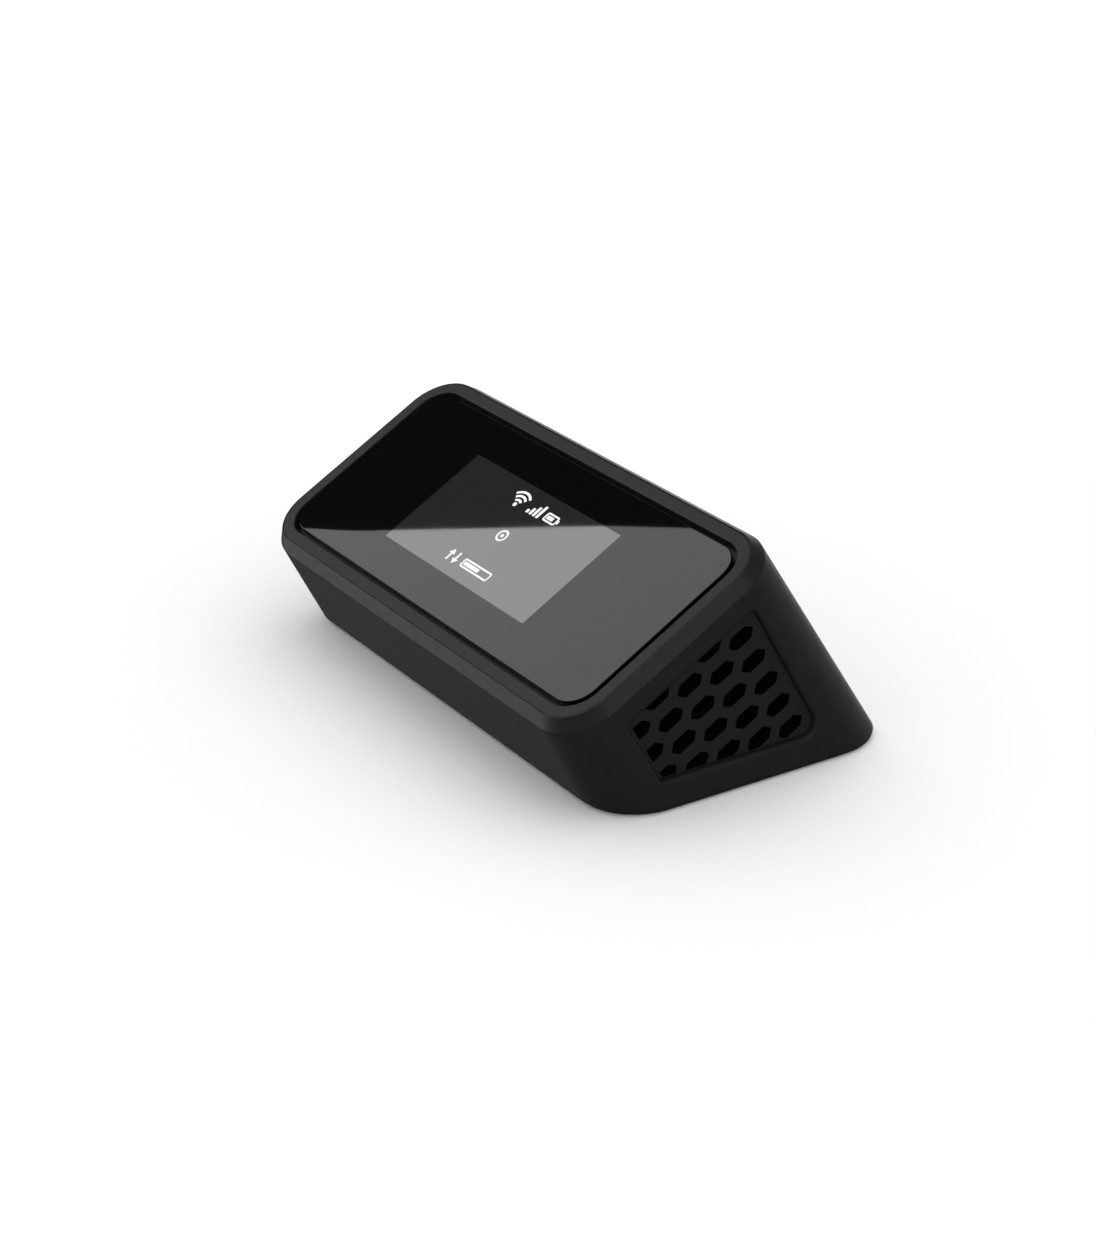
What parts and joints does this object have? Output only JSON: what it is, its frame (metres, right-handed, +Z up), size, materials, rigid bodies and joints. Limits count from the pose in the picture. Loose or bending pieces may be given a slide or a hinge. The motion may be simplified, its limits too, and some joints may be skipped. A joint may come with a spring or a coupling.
{
  "type": "mobile hotspot",
  "caption": "Wedge-shaped desk mobile hotspot with a tilted glass display face, honeycomb side vents, rear USB-C port, SIM tray, power and reset buttons.",
  "frame": {"origin": "centre of the bounding box's footprint, on the surface that the foot pad rests on", "axes": "+X to the right as seen from the low front, +Y towards the tall rear wall, +Z up"},
  "size_m": [0.116, 0.0746, 0.0464],
  "materials": {
    "housing_plastic": "fine-textured near-black moulded plastic",
    "rim_plastic": "satin near-black moulded plastic",
    "cover_glass": "polished glass printed black on its back",
    "display": "lit dark grey display",
    "foam": "black closed-cell foam",
    "sheet_steel": "tinned sheet steel",
    "flex_film": "amber polyimide film",
    "component_plastic": "black component moulding",
    "mesh_cloth": "black woven dust screen",
    "rubber": "matt black rubber",
    "screw_steel": "blackened steel",
    "magnesium": "die-cast, bead blasted",
    "battery": "shrink-wrapped cell pack",
    "lead": "red insulated lead",
    "circuit_board": "green solder mask",
    "thermal_pad": "soft grey-blue pad",
    "aluminium": "extruded",
    "card": "white card plastic",
    "coax": "black micro coax jacket"
  },
  "bodies": {
    "chassis": {"housing": "housing_plastic", "bezel_ring": "rim_plastic", "cover_glass": "cover_glass", "glass_adhesive": "foam", "display_module": "display", "display_backplate": "sheet_steel", "display_foam": "foam", "display_flex": "flex_film", "flex_connector": "component_plastic", "grille_left": "housing_plastic", "grille_right": "housing_plastic", "dust_screen_left": "mesh_cloth", "dust_screen_right": "mesh_cloth", "base_cover": "housing_plastic", "foot_pad": "rubber", "base_screw_1": "screw_steel", "base_screw_2": "screw_steel", "base_screw_3": "screw_steel", "base_screw_4": "screw_steel", "mid_frame": "magnesium", "mid_frame_screw_1": "screw_steel", "mid_frame_screw_2": "screw_steel", "mid_frame_screw_3": "screw_steel", "mid_frame_screw_4": "screw_steel", "battery_pack": "battery", "battery_connector": "component_plastic", "battery_lead": "lead", "main_board": "circuit_board", "board_screw_1": "screw_steel", "board_screw_2": "screw_steel", "board_screw_3": "screw_steel", "board_screw_4": "screw_steel", "wifi_shield": "sheet_steel", "power_shield": "sheet_steel", "modem_module": "component_plastic", "thermal_pad": "thermal_pad", "heatsink": "aluminium", "heatsink_screw_1": "screw_steel", "heatsink_screw_2": "screw_steel", "usb_c_socket": "sheet_steel", "sim_socket": "sheet_steel", "power_switch": "component_plastic", "reset_switch": "component_plastic", "antenna_front_left": "flex_film", "antenna_front_right": "flex_film", "antenna_rear_left": "flex_film", "antenna_rear_right": "flex_film", "coax_front_left": "coax", "coax_front_right": "coax", "coax_rear_left": "coax", "coax_rear_right": "coax"},
    "power_key": {"power_button": "rim_plastic"},
    "reset_key": {"reset_button": "rim_plastic"},
    "tray": {"sim_tray": "housing_plastic", "sim_card": "card"}
  },
  "joints": [
    {"name": "power_press", "type": "slide", "parent": "chassis", "child": "power_key", "axis": [0, -0.866, -0.5], "range_m": [0, 0.0005], "stiffness_N_per_m": 1500, "springref_m": -0.0003},
    {"name": "reset_press", "type": "slide", "parent": "chassis", "child": "reset_key", "axis": [0, -0.866, -0.5], "range_m": [0, 0.0004], "stiffness_N_per_m": 1500, "springref_m": -0.0003},
    {"name": "tray_slide", "type": "slide", "parent": "chassis", "child": "tray", "axis": [0, 0.866, 0.5], "range_m": [0, 0.022]}
  ]
}
